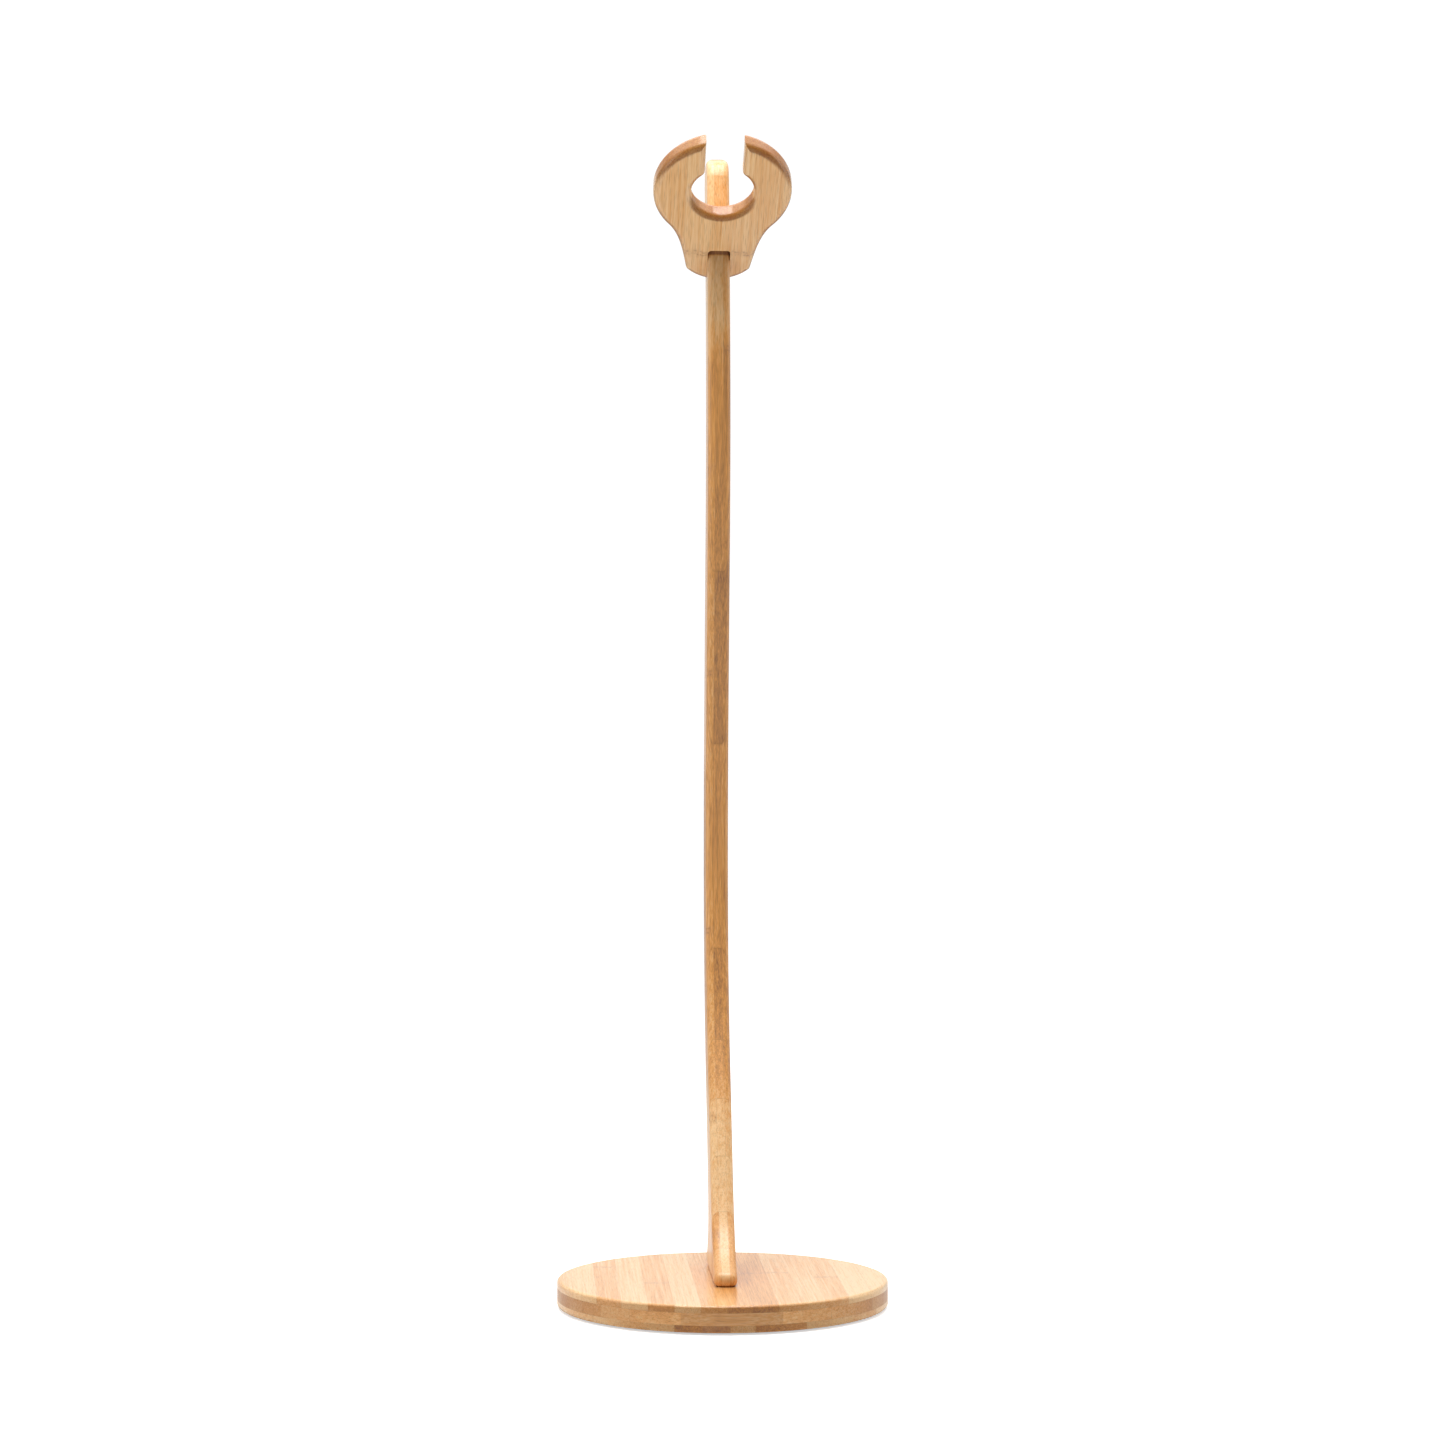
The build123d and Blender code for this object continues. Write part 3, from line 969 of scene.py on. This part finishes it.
class STAND_OT_stage(bpy.types.Operator):
    """Lay the floor, hang the lights and set up the camera"""

    bl_idname = "stand.stage"
    bl_label = "Stage"

    def execute(self, context):
        stage = context.scene.stand_stage
        make_camera(stage)
        make_floor(stage)
        make_lights(stage)
        make_world()
        context.scene.view_settings.view_transform = "Standard"
        return {"FINISHED"}


# ---------------------------------------------------------------- stage


def make_camera(stage):
    """A level camera that looks through the stand's axis."""
    data = bpy.data.cameras.new("camera")
    data.lens = stage.lens
    data.sensor_width = SENSOR_WIDTH
    data.clip_end = CLIP_END
    camera = bpy.data.objects.new("camera", data)
    camera.location = (
        -stage.distance * sin(stage.azimuth),
        -stage.distance * cos(stage.azimuth),
        stage.height,
    )
    camera.rotation_euler = (pi / 2, 0, -stage.azimuth)
    bpy.context.scene.collection.objects.link(camera)
    bpy.context.scene.camera = camera


def make_floor(stage):
    """A wide pale floor, lifted towards white for the camera alone."""
    mesh = bmesh.new()
    bmesh.ops.create_circle(mesh, cap_ends=True, segments=FLOOR_SIDES, radius=FLOOR_RADIUS)
    data = bpy.data.meshes.new("floor")
    mesh.to_mesh(data)
    mesh.free()
    material, s, surface = new_material("floor")
    place = s.node("ShaderNodeTexCoord", output=3)
    s.put(surface["Base Color"], (*stage.floor, 1))
    s.put(surface["Roughness"], s.math("MULTIPLY_ADD", s.noise(place, 3.0), 0.1, 0.6))
    s.put(surface["Specular IOR Level"], 0.1)
    s.put(surface["Emission Color"], (1, 1, 1, 1))
    seen = s.node("ShaderNodeLightPath", output="Is Camera Ray")
    s.put(surface["Emission Strength"], s.math("MULTIPLY", seen, 0.58))
    data.materials.append(material)
    floor = bpy.data.objects.new("floor", data)
    bpy.context.scene.collection.objects.link(floor)


def make_softbox(name, power, size, place, target):
    """A rectangular area light that faces a point."""
    data = bpy.data.lights.new(name, "AREA")
    data.shape = "RECTANGLE"
    data.size, data.size_y = size
    data.energy = power
    light = bpy.data.objects.new(name, data)
    light.location = place
    light.rotation_euler = (Vector(target) - Vector(place)).to_track_quat("-Z", "Y").to_euler()
    bpy.context.scene.collection.objects.link(light)
    return light


def make_lights(stage):
    """An overhead softbox, one at each side, and a front fill that the lacquer doesn't mirror."""
    make_softbox("key", stage.key, KEY_BOX, (-0.15, -0.45, 2.5), BASE_AIM)
    make_softbox("left", stage.left, SIDE_BOX, (-2.0, -0.3, 0.9), MIDDLE)
    make_softbox("right", stage.right, SIDE_BOX, (2.0, 0.2, 0.9), MIDDLE)
    fill = make_softbox("fill", stage.fill, FILL_BOX, (0.3, -3.6, 1.3), MIDDLE)
    fill.visible_glossy = False


def make_world():
    """White wherever the camera sees it. As light it is bright behind the stand and dim in
    front, with a bright ceiling that shows only in reflections."""
    world = bpy.data.worlds.new("studio")
    world.use_nodes = True
    bpy.context.scene.world = world
    s = Shader(world.node_tree)
    background = next(n for n in world.node_tree.nodes if n.type == "BACKGROUND")
    direction = s.node("ShaderNodeTexCoord")
    behind = s.smooth(s.part(direction, "Y"), -0.4, 0.95, 0.06, 0.85)
    up = s.part(direction, "Z")
    lit = s.math("ADD", behind, s.smooth(up, 0.0, 1.0, 0.0, 0.15))
    seen = s.node("ShaderNodeLightPath", output="Is Camera Ray")
    mirrored = s.node("ShaderNodeLightPath", output="Is Glossy Ray")
    ceiling = s.math("MULTIPLY", mirrored, s.smooth(up, 0.45, 0.75, 0.0, 2.6))
    strength = s.math("MAXIMUM", s.math("ADD", lit, ceiling), s.math("MULTIPLY", seen, 1.05))
    s.put(background.inputs["Color"], (1, 1, 1, 1))
    s.put(background.inputs["Strength"], strength)


# ---------------------------------------------------------------- panel and main


OPERATORS = (
    STAND_OT_base,
    STAND_OT_upright,
    STAND_OT_cradle,
    STAND_OT_plug,
    STAND_OT_screws,
    STAND_OT_dowels,
    STAND_OT_pads,
    STAND_OT_stage,
)


class STAND_PT_pieces(bpy.types.Panel):
    """The stand's pieces, one button each"""

    bl_label = "Cradle Stand"
    bl_idname = "STAND_PT_pieces"
    bl_space_type = "VIEW_3D"
    bl_region_type = "UI"
    bl_category = "Cradle Stand"

    def draw(self, context):
        for operator in OPERATORS:
            self.layout.operator(operator.bl_idname)


def register():
    for cls in (*SETTINGS.values(), *OPERATORS, STAND_PT_pieces):
        bpy.utils.register_class(cls)
    for name, settings in SETTINGS.items():
        setattr(bpy.types.Scene, name, PointerProperty(type=settings))


def unregister():
    for name in SETTINGS:
        delattr(bpy.types.Scene, name)
    for cls in reversed((*SETTINGS.values(), *OPERATORS, STAND_PT_pieces)):
        bpy.utils.unregister_class(cls)


def main():
    register()
    make_strips_group()
    make_fibre_group()
    make_ring_group()
    make_bamboo_group()
    make_plating_group()
    bpy.ops.stand.base()
    bpy.ops.stand.upright()
    bpy.ops.stand.cradle()
    bpy.ops.stand.plug()
    bpy.ops.stand.screws()
    bpy.ops.stand.dowels()
    bpy.ops.stand.pads()
    bpy.ops.stand.stage()


if __name__ == "__main__":
    main()
